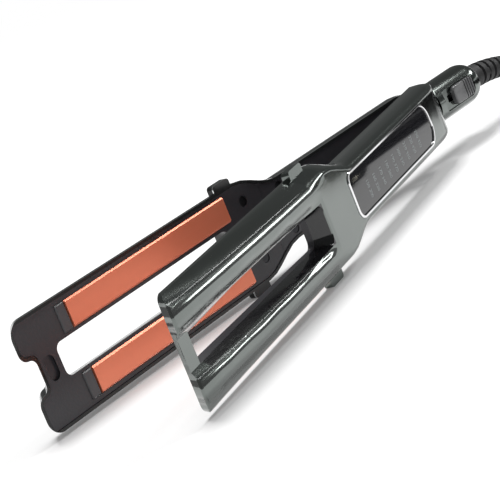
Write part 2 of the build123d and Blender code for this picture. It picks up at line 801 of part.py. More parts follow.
def hinge_spring():
    """Torsion spring round the pin: one leg rests on the lower cover, the other lifts the upper arm."""
    half_width = spring_half_width()
    seat = hinge_height + inner_face - spring_wire / 2
    dip = asin(seat / hypot(spring_radius, spring_lower_leg)) - atan2(spring_radius, spring_lower_leg)
    turns = spring_turns - 0.5 - (degrees(dip) + open_angle) / 360
    along_pin = Plane(origin=(pivot_x, -half_width, hinge_height), x_dir=(-sin(dip), 0, -cos(dip)),
                      z_dir=(0, 1, 0))
    path = along_pin * Helix(2 * half_width / turns, 2 * half_width, spring_radius)
    start = Plane(origin=path @ 0, z_dir=path % 0)
    spring = sweep(start * Circle(spring_wire / 2), path=path)
    for end, length in ((0, spring_lower_leg), (1, spring_upper_leg)):
        tangent = path % end
        forward = 1 if tangent.X > 0 else -1
        leg = Plane(origin=path @ end, z_dir=tangent * forward) * Circle(spring_wire / 2)
        spring += extrude(leg, length)
    return spring


def turned(points, height=-barrel_drop):
    """A solid turned about the barrel's axis from points given as place along it and radius."""
    outline = Plane.XZ * make_face(Polyline(*points, close=True).edges())
    return Pos(0, 0, height) * revolve(outline, Axis.X)


def rear_barrel():
    """Round rear housing: window and slot of the lock on top, opening for the cord's neck behind."""
    outline = Curve() + [
        Line((barrel_front, 0), (barrel_front, barrel_radius)),
        Line((barrel_front, barrel_radius), (barrel_rear + barrel_dome, barrel_radius)),
        EllipticalCenterArc((barrel_rear + barrel_dome, barrel_end_radius), barrel_dome,
                            barrel_radius - barrel_end_radius, start_angle=90, arc_size=90),
        Line((barrel_rear, barrel_end_radius), (barrel_rear, 0)),
        Line((barrel_rear, 0), (barrel_front, 0)),
    ]
    body = Pos(0, 0, -barrel_drop) * revolve(Plane.XZ * make_face(outline.edges()), Axis.X)
    spigot = turned([(barrel_front - skin, 0), (barrel_front + spigot_length, 0),
                     (barrel_front + spigot_length, spigot_radius), (barrel_front - skin, spigot_radius)])
    body += spigot - block(barrel_front, 0, -20, 20, -bracket_depth - bracket_thickness, 20)
    inner_radius = barrel_radius - barrel_wall
    end_wall = barrel_rear + 2.0
    hollow_radius = min(inner_radius, neck_flange_radius + 0.3)
    body -= turned([(end_wall, 0), (end_wall, hollow_radius), (barrel_rear + barrel_dome, hollow_radius),
                    (barrel_rear + barrel_dome, inner_radius), (barrel_front - 2, inner_radius),
                    (barrel_front - 2, spigot_radius - barrel_wall),
                    (barrel_front + spigot_length + skin, spigot_radius - barrel_wall),
                    (barrel_front + spigot_length + skin, 0)])
    body += recess_floor() & turned([(barrel_front - 2, 0), (barrel_front - 2, inner_radius + 0.5),
                                     (barrel_rear + barrel_dome, inner_radius + 0.5),
                                     (barrel_rear + barrel_dome, 0)])
    floor = window_floor - barrel_drop
    window = Pos(window_front - window_length / 2, 0, floor) * RectangleRounded(
        window_length, 2 * window_half_width, 2.5)
    body -= extrude(window, 20)
    stem_rear = slider_rear() + 4.6
    slot_half = lock_stem_half_width + 0.25
    body -= block(stem_rear - 0.3, stem_rear + lock_stem_length + lock_travel + 0.3, -slot_half, slot_half,
                  -barrel_drop, 20)
    neck_hole = neck_radius + neck_clearance
    body -= turned([(barrel_rear - skin, 0), (barrel_rear - skin, neck_hole), (end_wall + skin, neck_hole),
                    (end_wall + skin, 0)])
    return body


def recess_floor():
    """The floor of the lock's window, thick enough to guide the stem."""
    floor = window_floor - barrel_drop
    return block(window_front - window_length - 1.5, window_front + 1.5, -window_half_width - 1.5,
                 window_half_width + 1.5, floor - 1.4, floor + 20)


def slider_rear():
    return window_front - window_length + slider_play


def lock_slider():
    """Thumb piece of the lock: cross ribs at its rear end, a smooth cap in front, a stem below."""
    floor = window_floor - barrel_drop + 0.1
    rear = slider_rear()
    outline = Pos(rear + slider_length / 2, 0, floor) * RectangleRounded(
        slider_length, 2 * slider_half_width, 1.8)
    thumb = extrude(outline, slider_height)
    thumb = fillet(thumb.faces().sort_by(Axis.Z)[-1].edges(), 0.6)
    for number in range(slider_ribs):
        x = rear + 1.4 + number * 1.7
        thumb -= block(x, x + 0.8, -slider_half_width - skin, slider_half_width + skin,
                       floor + slider_height - 0.8, floor + slider_height + skin)
    stem = block(rear + 4.6, rear + 4.6 + lock_stem_length, -lock_stem_half_width,
                 lock_stem_half_width, -lock_bar_depth, floor + 0.5)
    return thumb + stem


def lock_bar():
    """Flat bar that the slider pushes under the hinge into the hook of the upper arm."""
    rear = slider_rear() + 4.6
    front = hook_front - hook_thickness - 4
    bar = block(rear, front, -lock_bar_half_width, lock_bar_half_width,
                -lock_bar_depth - lock_bar_thickness, -lock_bar_depth)
    return chamfer(bar.faces().sort_by(Axis.X)[-1].edges(), 0.5)


def swivel_neck():
    """Turning neck of the cord: a flange behind the barrel's end wall and a neck through it."""
    flange_rear = barrel_rear + 2.0 + neck_clearance
    flange_front = flange_rear + neck_flange_thickness
    return turned([(flange_front, 2.0), (flange_front, neck_flange_radius), (flange_rear, neck_flange_radius),
                   (flange_rear, neck_radius), (barrel_rear - 0.3, neck_radius), (barrel_rear - 0.3, 2.0)])


def relief_place(distance):
    """The plane square to the strain relief at a distance from its base. Row axes: z is up."""
    angle = distance / relief_bend_radius
    x = barrel_rear - 0.3 - relief_bend_radius * sin(angle)
    z = wing_reach - relief_bend_radius * (1 - cos(angle))
    return Plane(origin=(x, -barrel_drop, z), x_dir=(0, 1, 0), z_dir=(-cos(angle), 0, -sin(angle)))


def relief_radius(distance):
    share = max(0.0, (distance - relief_collar) / (relief_length - relief_collar))
    return relief_base_radius + (relief_end_radius - relief_base_radius) * share


def strain_relief():
    """Ribbed rubber sleeve, one ruled loft: smooth collar, then ribs with grooves between them."""
    pitch = (relief_length - relief_collar) / relief_ribs
    stations = [(0.0, relief_base_radius - 0.5), (0.5, relief_base_radius)]
    for number in range(relief_ribs):
        start = relief_collar + number * pitch
        stations += [
            (start, relief_radius(start)),
            (start + 0.25, relief_radius(start) - relief_groove_depth),
            (start + relief_groove, relief_radius(start) - relief_groove_depth),
            (start + relief_groove + 0.25, relief_radius(start)),
        ]
    stations += [(relief_length - 0.6, relief_end_radius), (relief_length, relief_end_radius - 0.6)]
    sleeve = loft([relief_place(at) * Circle(radius) for at, radius in stations], ruled=True)
    webs = Part()
    for number in range(relief_ribs):
        start = relief_collar + number * pitch
        middle = relief_place(start + relief_groove / 2)
        reach = relief_radius(start) - 0.25
        length, width = (2 * reach, 3.2) if number % 2 else (3.2, 2 * reach)
        webs += middle * Box(length, width, relief_groove + 0.6) & sleeve_envelope()
    return sleeve + webs


def sleeve_envelope():
    """The strain relief without its grooves, which the webs between the ribs are cut to."""
    places = [(0.0, relief_base_radius), (relief_collar, relief_base_radius),
              (relief_length, relief_end_radius)]
    return loft([relief_place(at) * Circle(radius - 0.15) for at, radius in places], ruled=True)


def tube(path, radius):
    start = Plane(origin=path @ 0, z_dir=path % 0)
    return sweep(start * Circle(radius), path=path)


def open_route(points):
    """A cord's route: straight runs joined by arcs as large as the runs allow."""
    radii = []
    for before, here, after in zip(points, points[1:], points[2:]):
        first = Vector(*here) - Vector(*before)
        second = Vector(*after) - Vector(*here)
        turn = radians(first.get_angle(second))
        radii.append(0.45 * min(first.length, second.length) / tan(turn / 2))
    print("route radii", [round(value, 1) for value in radii])
    return FilletPolyline(*points, radius=radii)


# Route of the cord, in row axes before the shift to the origin: x along the arms, z up
relief_end = relief_place(relief_length)
cord_start = tuple(relief_end.origin)
coil_x = cord_start[0] - coil_reach
coil_pitch = 2 * cord_radius + coil_gap
coil_outer = coil_mean_radius + coil_pitch * coil_half_turns / 4
coil_y = -barrel_drop + coil_outer
coil_height = cord_radius + tie_thickness + 0.2
coil_straight = 2 * cord_radius
coil_inner = coil_outer - coil_pitch * coil_half_turns / 2
coil_radii = [coil_outer - coil_pitch * number / 2 for number in range(coil_half_turns + 2)]
coil_radii += [coil_inner + coil_pitch * (0.62 + number / 2) for number in range(coil_half_turns)]
relief_turn = relief_length / relief_bend_radius
landing = (cord_start[2] - coil_height) / tan(relief_turn)
lead_points = [
    cord_start,
    (cord_start[0] - landing, cord_start[1], coil_height),
    (coil_x + coil_straight, cord_start[1], coil_height),
]
tail_start = (coil_x + coil_straight, coil_y + coil_radii[-1], coil_height + coil_pitch)
plug_axis_height = plug_face_height / 2
tail_points = [
    tail_start,
    (tail_start[0] + 19.0, tail_start[1], tail_start[2]),
    (tail_start[0] + 38.0, tail_start[1] - 1.5, plug_axis_height),
    (tail_start[0] + 57.0, tail_start[1] - 6.0, plug_axis_height),
]


def cord_lead():
    return tube(open_route(lead_points), cord_radius)


def cord_tail():
    return tube(open_route(tail_points), cord_radius)


def coil_edges():
    """The coil's half turns: in on the lower layer, up a layer, out on the upper one."""
    side = -1
    height = coil_height
    place = Vector(coil_x, coil_y - coil_radii[0], height)
    edges = [Line(place + Vector(coil_straight, 0, 0), place)]
    for number, radius in enumerate(coil_radii[1:]):
        climbing = number == coil_half_turns
        if climbing:
            height += coil_pitch
        side = -side
        target = Vector(coil_x, coil_y + side * radius, height)
        heading = Vector(side * -1.0, 0, 0)
        if climbing:
            chord = target - place
            middle = (place + target) * 0.5 + heading * (chord.length / 2)
            edges.append(TangentArc(place, middle, tangent=heading))
            edges.append(TangentArc(middle, target, tangent=chord.normalized()))
        else:
            edges.append(TangentArc(place, target, tangent=heading))
        place = target
    edges.append(Line(place, place + Vector(coil_straight, 0, 0)))
    return edges


def cord_coil():
    """The cord that isn't in use, wound into a round coil of two layers as one tube."""
    path = Wire([edge for line in coil_edges() for edge in line.edges()])
    print("coil length", round(path.length, 1), "across its middle", round(2 * coil_mean_radius, 1))
    print("least gap of the coil to itself", round(least_gap(path), 2))
    return tube(path, cord_radius)


def least_gap(path):
    """The least gap between turns, measured on points along the path."""
    step = 4.0
    count = int(path.length / step)
    points = [path @ (number / count) for number in range(count + 1)]
    far = int(coil_mean_radius / step)
    least = path.length
    for first in range(len(points)):
        for second in range(first + far, len(points)):
            least = min(least, (points[first] - points[second]).length)
    return least - 2 * cord_radius


def cord_tie():
    """Band that holds the turns together on the side away from the object."""
    room = cord_radius + 0.35
    inner_low = coil_x - (coil_radii[-2] + coil_radii[-1]) / 2 - room
    before = coil_radii[coil_half_turns + 1]
    after = coil_radii[coil_half_turns + 2]
    lean = tie_width / 2 + (after - before) / 2
    inner_high = coil_x - sqrt(((before + after) / 2) ** 2 - lean ** 2) + room
    y_low = coil_y - tie_width / 2
    y_high = coil_y + tie_width / 2
    top = coil_height + coil_pitch + room
    outer = block(inner_low - tie_thickness, inner_high + tie_thickness, y_low, y_high, 0,
                  top + tie_thickness)
    return outer - block(inner_low, inner_high, y_low - skin, y_high + skin, tie_thickness, top)


def plug_frame():
    """The plane at the end of the cord's tail, square to it, with y up."""
    last = Vector(*tail_points[-1])
    heading = (last - Vector(*tail_points[-2])).normalized()
    level = Vector(heading.X, heading.Y, 0).normalized()
    return Plane(origin=tuple(last), x_dir=(-level.Y, level.X, 0), z_dir=tuple(level))


def plug_body():
    """Flat two-pin plug: a small back that flares to the face with the pins."""
    frame = plug_frame()
    back = frame * RectangleRounded(plug_back_width, plug_back_height, 3)
    waist = frame.offset(plug_length * 0.35) * RectangleRounded(
        plug_back_width + 4, plug_back_height + 1, 3)
    shoulder = frame.offset(plug_length * 0.75) * RectangleRounded(plug_face_width - 1, plug_face_height, 5)
    face = frame.offset(plug_length) * RectangleRounded(plug_face_width, plug_face_height, 5)
    return loft([back, waist, shoulder, face], ruled=True)


def plug_pins():
    frame = plug_frame().offset(plug_length)
    pins = Part()
    for side in (-1, 1):
        pin = Pos(side * plug_pin_spacing / 2, 0, plug_pin_length / 2) * Cylinder(
            plug_pin_radius, plug_pin_length)
        pins += frame * chamfer(pin.faces().sort_by(Axis.Z)[-1].edges(), 0.8)
    return pins


def device_to_row(shape):
    """Lays the closed straightener on the wings of one side: across becomes down."""
    return Location((0, 0, wing_reach)) * Rotation(-90, 0, 0) * shape


def on_lower(shape):
    """A piece of the lower arm, turned over so that its outer side is below the parting plane."""
    return device_to_row(Rotation(180, 0, 0) * shape)


def on_upper(shape):
    """A piece of the upper arm, opened about the hinge pin."""
    hinge_axis = Axis((pivot_x, 0, hinge_height), (0, -1, 0))
    return device_to_row(shape.rotate(hinge_axis, open_angle))


pieces = {
    "lower_shell": on_lower(casing(False)),
    "lower_plate_frame": on_lower(plate_frame(False)),
    "lower_inner_cover": on_lower(lower_inner_cover()),
    "lower_plate_stops": on_lower(plate_stops()),
    "lower_plate_pads": on_lower(pads(False)),
    "lower_heater_leads": on_lower(heater_leads(power_board_front)),
    "lower_screws": on_lower(screws()),
    "power_board": on_lower(power_board()),
    "thermal_fuse": on_lower(thermal_fuse()),
    "hinge_bracket": device_to_row(hinge_bracket()),
    "hinge_pin": device_to_row(hinge_pin()),
    "hinge_spring": device_to_row(hinge_spring()),
    "rear_barrel": device_to_row(rear_barrel()),
    "lock_slider": device_to_row(lock_slider()),
    "lock_bar": device_to_row(lock_bar()),
    "upper_shell": on_upper(casing(True)),
    "upper_plate_frame": on_upper(plate_frame(True)),
    "upper_inner_cover": on_upper(upper_inner_cover()),
    "upper_plate_stops": on_upper(plate_stops()),
    "upper_plate_pads": on_upper(pads(True)),
    "upper_heater_leads": on_upper(heater_leads(control_board_front)),
    "upper_screws": on_upper(screws()),
    "control_board": on_upper(control_board()),
    "display_module": on_upper(display_module()),
    "display_lens": on_upper(display_lens()),
    "display_ring": on_upper(display_ring()),
    "swivel_neck": device_to_row(swivel_neck()),
    "strain_relief": strain_relief(),
    "cord_lead": cord_lead(),
    "cord_coil": cord_coil(),
    "cord_tail": cord_tail(),
    "cord_tie": cord_tie(),
    "plug_body": plug_body(),
    "plug_pins": plug_pins(),
}
for side, name in ((-1, "left"), (1, "right")):
    pieces["lower_plate_" + name] = on_lower(heating_plate(side))
    pieces["lower_heater_" + name] = on_lower(heater(side))
    pieces["lower_carrier_" + name] = on_lower(carrier(side))
    pieces["upper_plate_" + name] = on_upper(heating_plate(side))
    pieces["upper_heater_" + name] = on_upper(heater(side))
    pieces["upper_carrier_" + name] = on_upper(carrier(side))

# The origin is at the middle of the bottom of the straightener itself, without its cord
on_cord = ("strain_relief", "cord_lead", "cord_coil", "cord_tail", "cord_tie", "plug_body", "plug_pins")
boxes = [shape.bounding_box() for name, shape in pieces.items() if name not in on_cord]
low = [min(tuple(box.min)[axis] for box in boxes) for axis in (0, 1, 2)]
high = [max(tuple(box.max)[axis] for box in boxes) for axis in (0, 1, 2)]
shift = (-(low[0] + high[0]) / 2, -(low[1] + high[1]) / 2, -low[2])
print("shift to the origin", [round(value, 4) for value in shift])
print("size without the cord", [round(top - bottom, 2) for bottom, top in zip(low, high)])

os.makedirs("parts", exist_ok=True)
for name, shape in pieces.items():
    export_step(Location(shift) * shape, f"parts/{name}.step")
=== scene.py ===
from math import cos, pi, radians, sin, tan

import bmesh
import bpy
from mathutils import Matrix, Vector


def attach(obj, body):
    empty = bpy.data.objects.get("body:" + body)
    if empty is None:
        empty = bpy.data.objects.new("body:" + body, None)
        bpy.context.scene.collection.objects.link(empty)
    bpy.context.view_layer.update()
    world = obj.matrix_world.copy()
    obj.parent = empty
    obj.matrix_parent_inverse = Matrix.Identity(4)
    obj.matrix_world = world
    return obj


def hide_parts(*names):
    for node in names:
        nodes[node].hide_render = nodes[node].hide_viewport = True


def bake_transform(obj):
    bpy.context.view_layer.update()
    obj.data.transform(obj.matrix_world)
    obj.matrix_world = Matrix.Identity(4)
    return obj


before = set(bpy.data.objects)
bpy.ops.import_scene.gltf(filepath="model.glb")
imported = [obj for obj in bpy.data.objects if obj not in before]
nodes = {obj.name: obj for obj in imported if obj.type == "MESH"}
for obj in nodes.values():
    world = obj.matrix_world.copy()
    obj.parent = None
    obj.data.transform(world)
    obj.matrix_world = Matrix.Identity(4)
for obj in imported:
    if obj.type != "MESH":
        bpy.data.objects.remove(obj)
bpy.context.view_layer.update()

# The lower arm's casing is a hollow moulding in gloss black plastic, open towards the other arm. Its edges
# are rounded, and a narrow band of light metal is painted along its rim as a highlight line. Its tip slants
# back behind the inner face.


class Wire:
    """A value on its way through a finish's nodes, on which Python's own signs work."""

    def __init__(self, tree, socket=None):
        self.tree = tree
        self.socket = socket

    def node(self, kind, settings=None, inputs=None, output=0):
        """Adds a node: its settings first, then the values or wires of its sockets."""
        made = self.tree.nodes.new(kind)
        for name, value in (settings or {}).items():
            setattr(made, name, value)
        for name, value in (inputs or {}).items():
            if isinstance(value, Wire):
                self.tree.links.new(value.socket, made.inputs[name])
            else:
                made.inputs[name].default_value = value
        return Wire(self.tree, made.outputs[output])

    def measure(self, axis):
        """One of a place's three measures: its X for 0, its Y for 1 and its Z for 2."""
        return self.node("ShaderNodeSeparateXYZ", None, {0: self}, output=axis)

    def maths(self, operation, first, second=0.0, clamped=False):
        return self.node("ShaderNodeMath", {"operation": operation, "use_clamp": clamped},
                         {0: first, 1: second})

    def held(self):
        """The value, kept between 0 and 1."""
        return self.maths("ADD", self, 0.0, clamped=True)

    def __add__(self, other):
        return self.maths("ADD", self, other)

    def __sub__(self, other):
        return self.maths("SUBTRACT", self, other)

    def __rsub__(self, other):
        return self.maths("SUBTRACT", other, self)

    def __mul__(self, other):
        return self.maths("MULTIPLY", self, other)

    def __truediv__(self, other):
        return self.maths("DIVIDE", self, other)

    def __gt__(self, other):
        return self.maths("GREATER_THAN", self, other)

    def __lt__(self, other):
        return self.maths("LESS_THAN", self, other)

    def __abs__(self):
        return self.maths("ABSOLUTE", self)

    __radd__ = __add__
    __rmul__ = __mul__


class Finish:
    """A material under its own name: its principled shader, and the place on the piece."""

    def __init__(self, name, **fixed):
        self.material = bpy.data.materials.new(name)
        self.material.use_nodes = True
        self.tree = self.material.node_tree
        self.shader = self.tree.nodes["Principled BSDF"]
        for socket, value in fixed.items():
            self.shader.inputs[socket.replace("_", " ")].default_value = value
        self.place = Wire(self.tree).node("ShaderNodeTexCoord", output="Object")

    def noise(self, scale, detail=2.0, roughness=0.5, stretch=(1, 1, 1)):
        """Noise over the piece: scale is in patches per metre."""
        mapped = self.place.node("ShaderNodeMapping", None, {"Vector": self.place, "Scale": stretch})
        return mapped.node("ShaderNodeTexNoise", None, {
            "Vector": mapped, "Scale": scale, "Detail": detail, "Roughness": roughness})

    def mixed(self, low, high, mask):
        """A colour that runs from one to the other with a mask. Each is three numbers or a wire."""
        ends = [end if isinstance(end, Wire) else (*end, 1) for end in (low, high)]
        return self.place.node("ShaderNodeMix", {"data_type": "RGBA"}, {
            "Factor": mask, 6: ends[0], 7: ends[1]}, output=2)

    def drive(self, socket, wire):
        """Links a wire to a socket of the shader."""
        self.tree.links.new(wire.socket, self.shader.inputs[socket])

    def color(self, low, high, mask):
        self.drive("Base Color", self.mixed(low, high, mask))

    def roughness(self, low, high, mask):
        self.drive("Roughness", mask * (high - low) + low)

    def bump(self, height, distance):
        """Relief: the height times the distance, in metres."""
        self.drive("Normal", self.place.node("ShaderNodeBump", None, {
            "Height": height, "Distance": distance, "Strength": 1.0}))


weld_distance = 2e-6
flat_angle = radians(0.3)
bevel_margin = 4


def smooth_copy(node, name, sharp_angle=28, bevel=0.0):
    """A copy of a CAD node's mesh with its corners joined, smooth over its small facets."""
    mesh = nodes[node].data.copy()
    mesh.name = name
    work = bmesh.new()
    work.from_mesh(mesh)
    bmesh.ops.remove_doubles(work, verts=work.verts, dist=weld_distance)
    bmesh.ops.dissolve_limit(work, angle_limit=flat_angle, verts=work.verts, edges=work.edges)
    for face in work.faces:
        face.smooth = True
    for edge in work.edges:
        edge.smooth = not (edge.is_manifold and edge.calc_face_angle() > radians(sharp_angle))
    work.to_mesh(mesh)
    work.free()
    mesh.materials.clear()
    piece = bpy.data.objects.new(name, mesh)
    bpy.context.scene.collection.objects.link(piece)
    if bevel:
        rounding = piece.modifiers.new("rounded edges", "BEVEL")
        rounding.width = bevel
        rounding.segments = 2
        rounding.limit_method = "ANGLE"
        rounding.angle_limit = radians(sharp_angle + bevel_margin)
        rounding.harden_normals = True
    return piece


def stand_for(node, name, body, slot, finish, **shape):
    """A smooth copy that stands for its CAD node, in its finish and on its body."""
    piece = smooth_copy(node, name, **shape)
    piece.data.materials.append(finish.material)
    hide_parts(node)
    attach(piece, body)
    return piece


inner_face_place = -0.0305243
tip_slant = tan(radians(42))
slant_start = 0.122
slant_full = 0.1467


def slant_tip(piece):
    """Slants the lower arm's tip back, more the further a point lies behind the arm's inner face."""
    for vertex in piece.data.vertices:
        behind = max(inner_face_place - vertex.co.y, 0)
        share = min(max((vertex.co.x - slant_start) / (slant_full - slant_start), 0), 1)
        vertex.co.x -= tip_slant * behind * share * share * (3 - 2 * share)


# The rim's painted highlight is a narrow band of light metal on the rounded edge, between two places along Y.
rim_low = -0.0311
rim_high = -0.03056
rimmed = Finish("black_lacquer", Specular_IOR_Level=0.35)
film = rimmed.noise(60, 3)
rim_place = rimmed.place.measure(1)
painted_rim_highlight = (rim_place > rim_low) * (rim_high > rim_place)
casing_black = rimmed.mixed((0.019, 0.020, 0.020), (0.024, 0.025, 0.025), film)
# Light metal on the rim paints a bright highlight line along the casing's edge.
rimmed.color(casing_black, (0.75, 0.76, 0.76), painted_rim_highlight)
rimmed.drive("Metallic", painted_rim_highlight)
rimmed.roughness(0.10, 0.16, film)
slant_tip(stand_for("lower_shell", "lower_casing", "lower_arm", "casing_gunmetal", rimmed, sharp_angle=40,
                    bevel=0.0005))

# The round rear barrel carries the lock and the cord. It is moulded in a dark plastic with a metallic,
# high-gloss lacquer of gunmetal.
dull_gunmetal = (0.155, 0.172, 0.162)
bright_gunmetal = (0.175, 0.192, 0.182)
lacquer = Finish("gunmetal_lacquer", Metallic=1.0, Coat_Weight=0.3, Coat_Roughness=0.03)
haze = lacquer.noise(60, 3)
lacquer.color(dull_gunmetal, bright_gunmetal, haze)
lacquer.roughness(0.12, 0.17, haze)
stand_for("rear_barrel", "barrel", "lower_arm", "casing_gunmetal", lacquer)

# The upper arm's casing has the same lacquer on a crowned outer side: the handle and each branch of the fork
# fall away towards their edges. The slot's walls are bare gloss black. Places along the arm start at the
# plates' rear end, and across it at its middle, in the arm's own open position.
open_angle = radians(15.6)
hinge_x = -0.10285
hinge_y = -0.025324
hinge_reach = 0.130
arm_middle = 0.0244
crown_width = 0.0042
crown_slope = 0.24
lip_width = 0.0026
lip_slope = 0.42
outer_rounding = 0.0028
slot_rounding = 0.0020
handle_edge = 0.0100
fork_edge = 0.0157
fork_spread = 0.001
fork_length = 0.134
shoulder_back = -0.033
shoulder_front = -0.008
fork_crown_start = -0.006
fork_crown_fade = 0.016
slot_edge = 0.0100
slot_crown_start = 0.002
slot_crown_fade = 0.012
slot_wall_edge = 0.0084
slot_wall_back = 0.0048
slot_wall_front = 0.1185
wall_black = (0.008, 0.008, 0.009)

crowned = Finish("crowned_lacquer", Coat_Weight=0.3, Coat_Roughness=0.03)
from_hinge_x = crowned.place.measure(0) - hinge_x
from_hinge_y = crowned.place.measure(1) - hinge_y
along = from_hinge_x * cos(open_angle) + from_hinge_y * sin(open_angle) - hinge_reach
across = abs(crowned.place.measure(2) - arm_middle)


def fall(inside, rounding):
    """Height lost towards an edge, from the distance inside it: a crown and a lip, then back again."""
    crown = 1 - (inside / crown_width).held()
    lip = 1 - (inside / lip_width).held()
    beyond = (inside / -rounding).held()
    return (crown * crown * (crown_slope * crown_width / 2) + lip * lip * (lip_slope * lip_width / 2)
            + (beyond - beyond * beyond * 0.5) * ((crown_slope + lip_slope) * rounding))


shoulder = along.node("ShaderNodeMapRange", {"interpolation_type": "SMOOTHSTEP"}, {
    "Value": along, "From Min": shoulder_back, "From Max": shoulder_front,
    "To Min": handle_edge, "To Max": fork_edge})
outer_edge = shoulder + ((along - shoulder_front) / fork_length).held() * fork_spread
on_fork = ((along - fork_crown_start) / fork_crown_fade).held()
beside_slot = ((along - slot_crown_start) / slot_crown_fade).held()
at_outside = fall(outer_edge - across, outer_rounding) * on_fork
at_slot = fall(across - slot_edge, slot_rounding) * beside_slot
crowned.bump((at_outside + at_slot) * -1.0, 1.0)
slot_wall = (slot_wall_edge > across) * (along > slot_wall_back) * (slot_wall_front > along)
cloud = crowned.noise(60, 3)
crowned.color(crowned.mixed(dull_gunmetal, bright_gunmetal, cloud), wall_black, slot_wall)
crowned.drive("Metallic", 1 - slot_wall)
crowned.roughness(0.12, 0.17, cloud)
stand_for("upper_shell", "upper_casing", "upper_arm", "casing_gunmetal", crowned)

# The inner faces that meet when the arms close are a satin black, heat-resistant plastic, screwed into the
# casings. The strips in front of the plates are of a lighter black.
grain_depth = 0.00004
inner_black = Finish("inner_black", Specular_IOR_Level=0.4)
grain = inner_black.noise(900, 2)
inner_black.color((0.033, 0.032, 0.037), (0.041, 0.040, 0.045), grain)
inner_black.roughness(0.26, 0.34, grain)
inner_black.bump(grain, grain_depth)

stop_black = Finish("stop_black")
matt = stop_black.noise(900, 2)
stop_black.color((0.055, 0.055, 0.060), (0.066, 0.066, 0.071), matt)
stop_black.roughness(0.32, 0.40, matt)

arms = ("lower", "upper")
for arm in arms:
    for node in ("plate_frame", "inner_cover"):
        stand_for(f"{arm}_{node}", f"{arm}_{node}_moulding", f"{arm}_arm", "inner_black", inner_black)
    stand_for(f"{arm}_plate_stops", f"{arm}_plate_stops_moulding", f"{arm}_arm", "inner_black", stop_black)
slant_tip(bpy.data.objects["lower_plate_frame_moulding"])


def dress(node, finish):
    """Gives a CAD node that keeps its own mesh a finish."""
    mesh = nodes[node].data
    mesh.materials.clear()
    mesh.materials.append(finish.material)


sides = ("left", "right")
for arm in arms:
    for side in sides:
        dress(f"{arm}_carrier_{side}", inner_black)

# The heating plates are aluminium strips with bevelled edges and a satin, copper-coloured ceramic coating,
# drawn lengthways. They sit in the windows of the inner frames.
copper = Finish("copper_coating", Metallic=0.4)
drawn = copper.noise(240, 3, 0.6, stretch=(0.08, 1, 1))
copper.color((0.86, 0.245, 0.135), (0.93, 0.275, 0.155), drawn)
copper.roughness(0.30, 0.38, drawn)

for arm in arms:
    for side in sides:
        dress(f"{arm}_plate_{side}", copper)

# Behind the plates lie ceramic heater strips on silicone pads, with silicone wires to the boards, and a
# thermal fuse. None of it shows unless the arms are taken apart.
ceramic = Finish("heater_ceramic", Roughness=0.6)
ceramic.color((0.80, 0.79, 0.75), (0.86, 0.85, 0.82), ceramic.noise(300))
silicone = Finish("pad_silicone", Roughness=0.7)
silicone.color((0.30, 0.30, 0.31), (0.36, 0.36, 0.37), silicone.noise(400))
wire_red = Finish("wire_silicone", Roughness=0.55)
wire_red.color((0.42, 0.03, 0.02), (0.50, 0.05, 0.03), wire_red.noise(300))
board = Finish("circuit_board", Roughness=0.45)
board.color((0.010, 0.075, 0.035), (0.018, 0.110, 0.050), board.noise(260))
can = Finish("fuse_can", Metallic=1.0, Roughness=0.35)
can.color((0.60, 0.60, 0.62), (0.68, 0.68, 0.70), can.noise(500))
light_guide = Finish("light_guide", Roughness=0.5)
light_guide.color((0.10, 0.10, 0.11), (0.13, 0.13, 0.14), light_guide.noise(300))

for arm in arms:
    for side in sides:
        dress(f"{arm}_heater_{side}", ceramic)
    dress(f"{arm}_plate_pads", silicone)
    dress(f"{arm}_heater_leads", wire_red)
dress("power_board", board)
dress("control_board", board)
dress("thermal_fuse", can)
dress("display_module", light_guide)

# The hinge's bracket and pin are plain rolled steel, and the screws that hold the inner faces in the casings
# are blackened.
steel = Finish("plain_steel", Metallic=1.0)
rolled = steel.noise(500, 2)
steel.color((0.42, 0.42, 0.43), (0.52, 0.52, 0.53), rolled)
steel.roughness(0.28, 0.4, rolled)
for node in ("hinge_bracket", "hinge_pin"):
    dress(node, steel)
blackened = Finish("blackened_steel", Metallic=1.0)
oxide = blackened.noise(700, 2)
blackened.color((0.040, 0.040, 0.044), (0.065, 0.064, 0.068), oxide)
blackened.roughness(0.34, 0.46, oxide)
for node in ("lower_screws", "upper_screws"):
    dress(node, blackened)

# The spring is wound from steel wire round the hinge's pin, and winds up as the arms close: one leg stays on
# the lower arm and the other goes with the upper.
spring = smooth_copy("hinge_spring", "torsion_spring")
spring.data.materials.append(steel.material)
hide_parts("hinge_spring")
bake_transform(spring)

# The display's ring is chrome-plated and seats in the upper casing. It frames a lens of smoked acrylic,
# which is slightly crowned across the arm.
chrome = Finish("chrome_plating", Metallic=1.0)
polish = chrome.noise(200)
chrome.color((0.80, 0.80, 0.81), (0.85, 0.85, 0.86), polish)
chrome.roughness(0.05, 0.1, polish)
stand_for("display_ring", "display_bezel", "upper_arm", "chrome_ring", chrome)
lens_crown = 6.0
smoked = Finish("smoked_acrylic", Roughness=0.06)
smoked.color((0.011, 0.011, 0.013), (0.015, 0.015, 0.017), smoked.noise(100))
off_middle = smoked.place.measure(2) - arm_middle
smoked.bump(off_middle * off_middle * -lens_crown, 1.0)
stand_for("display_lens", "display_window", "upper_arm", "display_glass", smoked)

